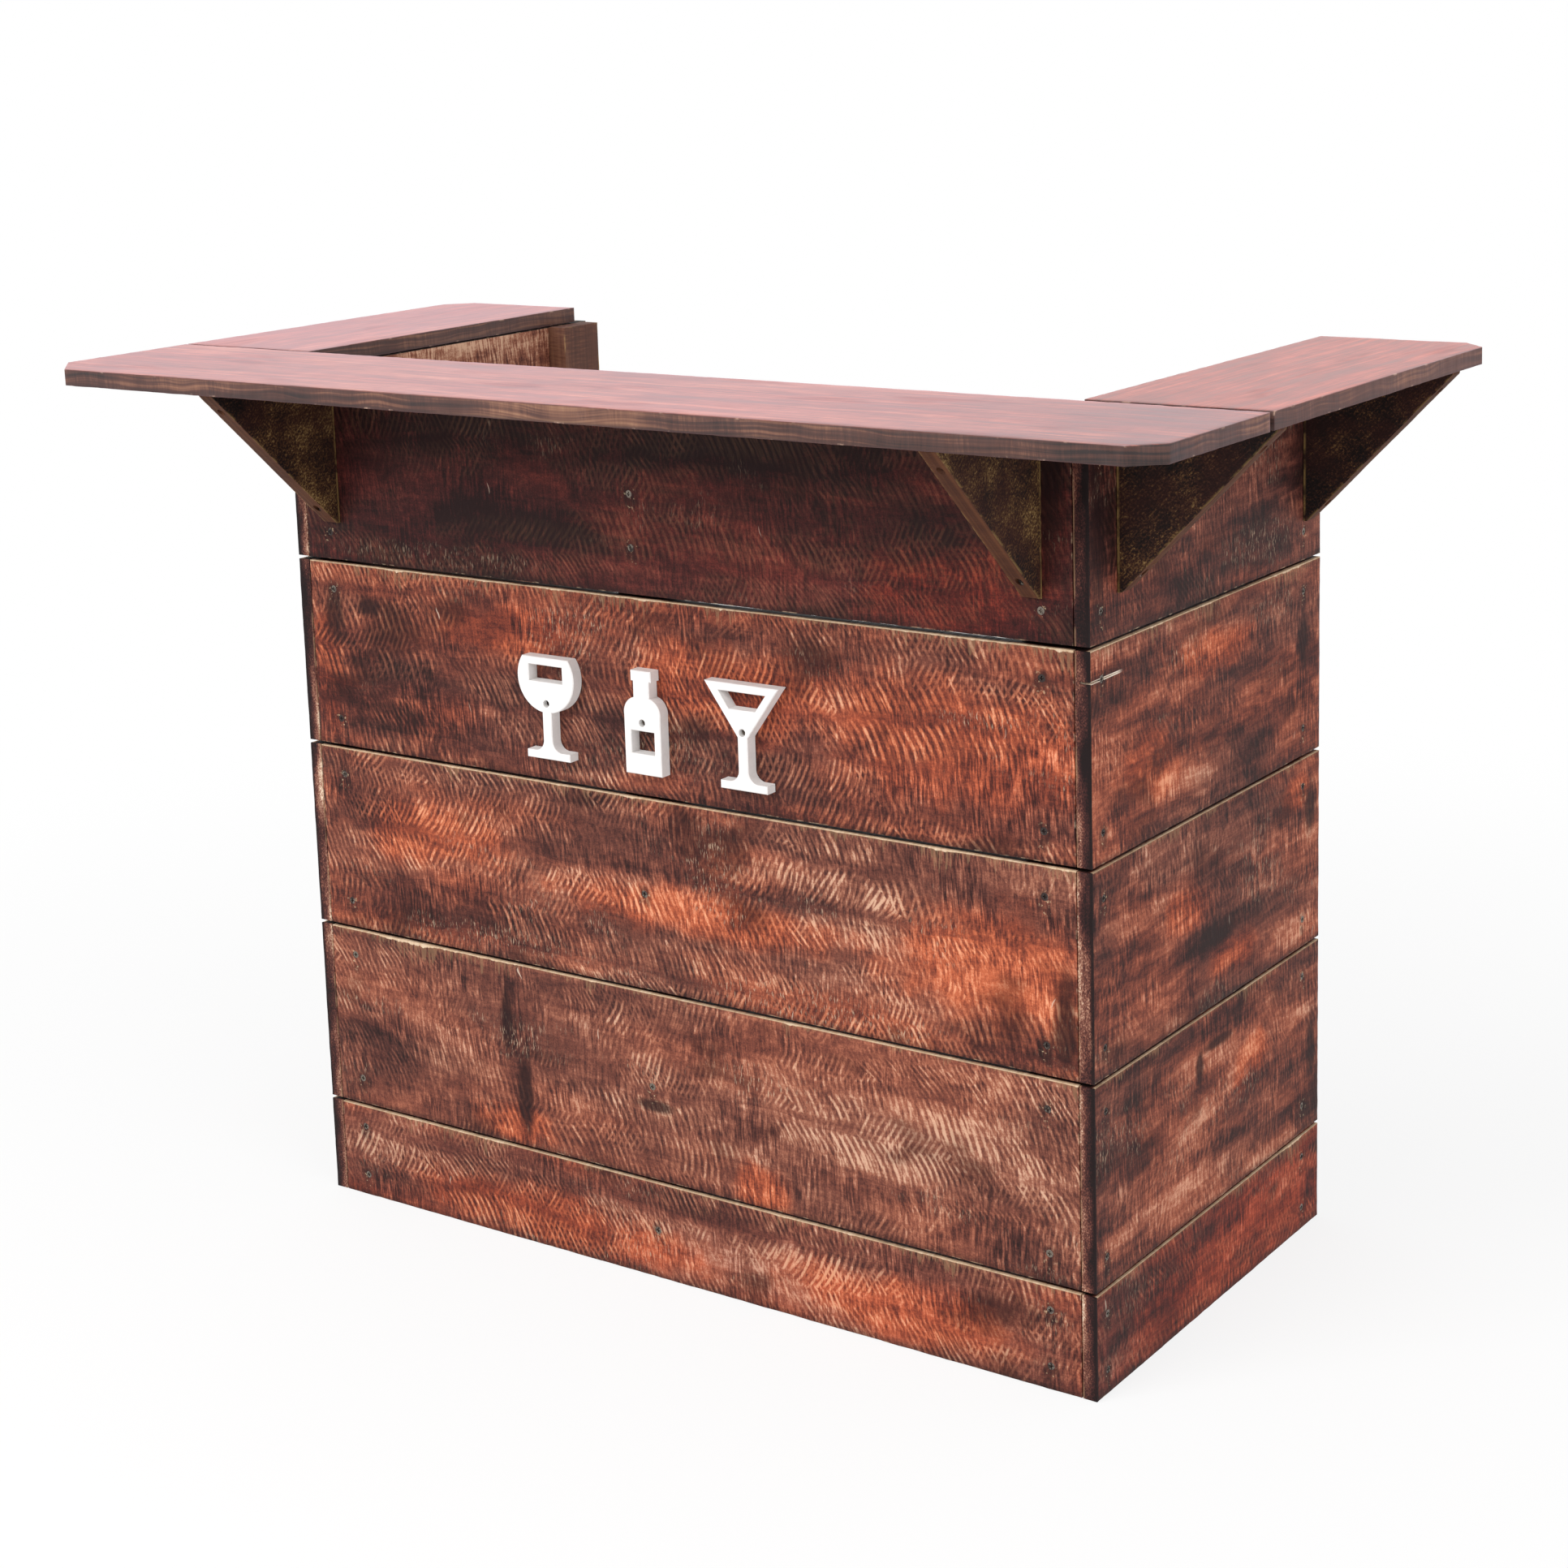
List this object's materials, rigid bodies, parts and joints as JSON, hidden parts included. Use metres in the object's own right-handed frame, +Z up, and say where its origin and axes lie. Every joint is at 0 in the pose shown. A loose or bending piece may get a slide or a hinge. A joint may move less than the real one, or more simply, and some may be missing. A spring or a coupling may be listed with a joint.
{
  "type": "bar counter",
  "caption": "Three-sided free-standing bar counter of rough-sawn stained boards, with overhanging top boards on triangular plank brackets and painted glass and bottle cut-outs on the front.",
  "frame": {"origin": "on the floor, in the middle of the counter's outline seen from above", "axes": "+X along the front, to the guest's right; +Y from the front towards the open back; +Z up"},
  "size_m": [1.453, 0.797, 1.049],
  "materials": {
    "stained_boards": "rough-sawn, red-brown stain, worn raw edges",
    "varnished_tops": "red-brown stain under satin varnish",
    "bracket_planks": "rough-sawn, thin dark stain",
    "battens": "sawn, partly stained",
    "white_paint": "matt white paint on wood",
    "screws": "dull, stained over"
  },
  "bodies": {
    "root": {"front_board_1": "stained_boards", "front_board_2": "stained_boards", "front_board_3": "stained_boards", "front_board_4": "stained_boards", "front_base_board": "stained_boards", "left_board_1": "stained_boards", "left_board_2": "stained_boards", "left_board_3": "stained_boards", "left_board_4": "stained_boards", "left_base_board": "stained_boards", "right_board_1": "stained_boards", "right_board_2": "stained_boards", "right_board_3": "stained_boards", "right_board_4": "stained_boards", "right_base_board": "stained_boards", "front_left_batten": "battens", "front_middle_batten": "battens", "front_right_batten": "battens", "left_rear_batten": "battens", "right_rear_batten": "battens", "front_top": "varnished_tops", "left_top": "varnished_tops", "right_top": "varnished_tops", "front_left_bracket": "bracket_planks", "front_right_bracket": "bracket_planks", "left_fore_bracket": "bracket_planks", "left_rear_bracket": "bracket_planks", "right_fore_bracket": "bracket_planks", "right_rear_bracket": "bracket_planks", "wine_glass_cutout": "white_paint", "bottle_cutout": "white_paint", "cocktail_glass_cutout": "white_paint", "front_board_screws": "screws", "left_side_screws": "screws", "right_side_screws": "screws", "front_bracket_screws": "screws", "left_bracket_screws": "screws", "right_bracket_screws": "screws", "cutout_screws": "screws"}
  },
  "joints": []
}
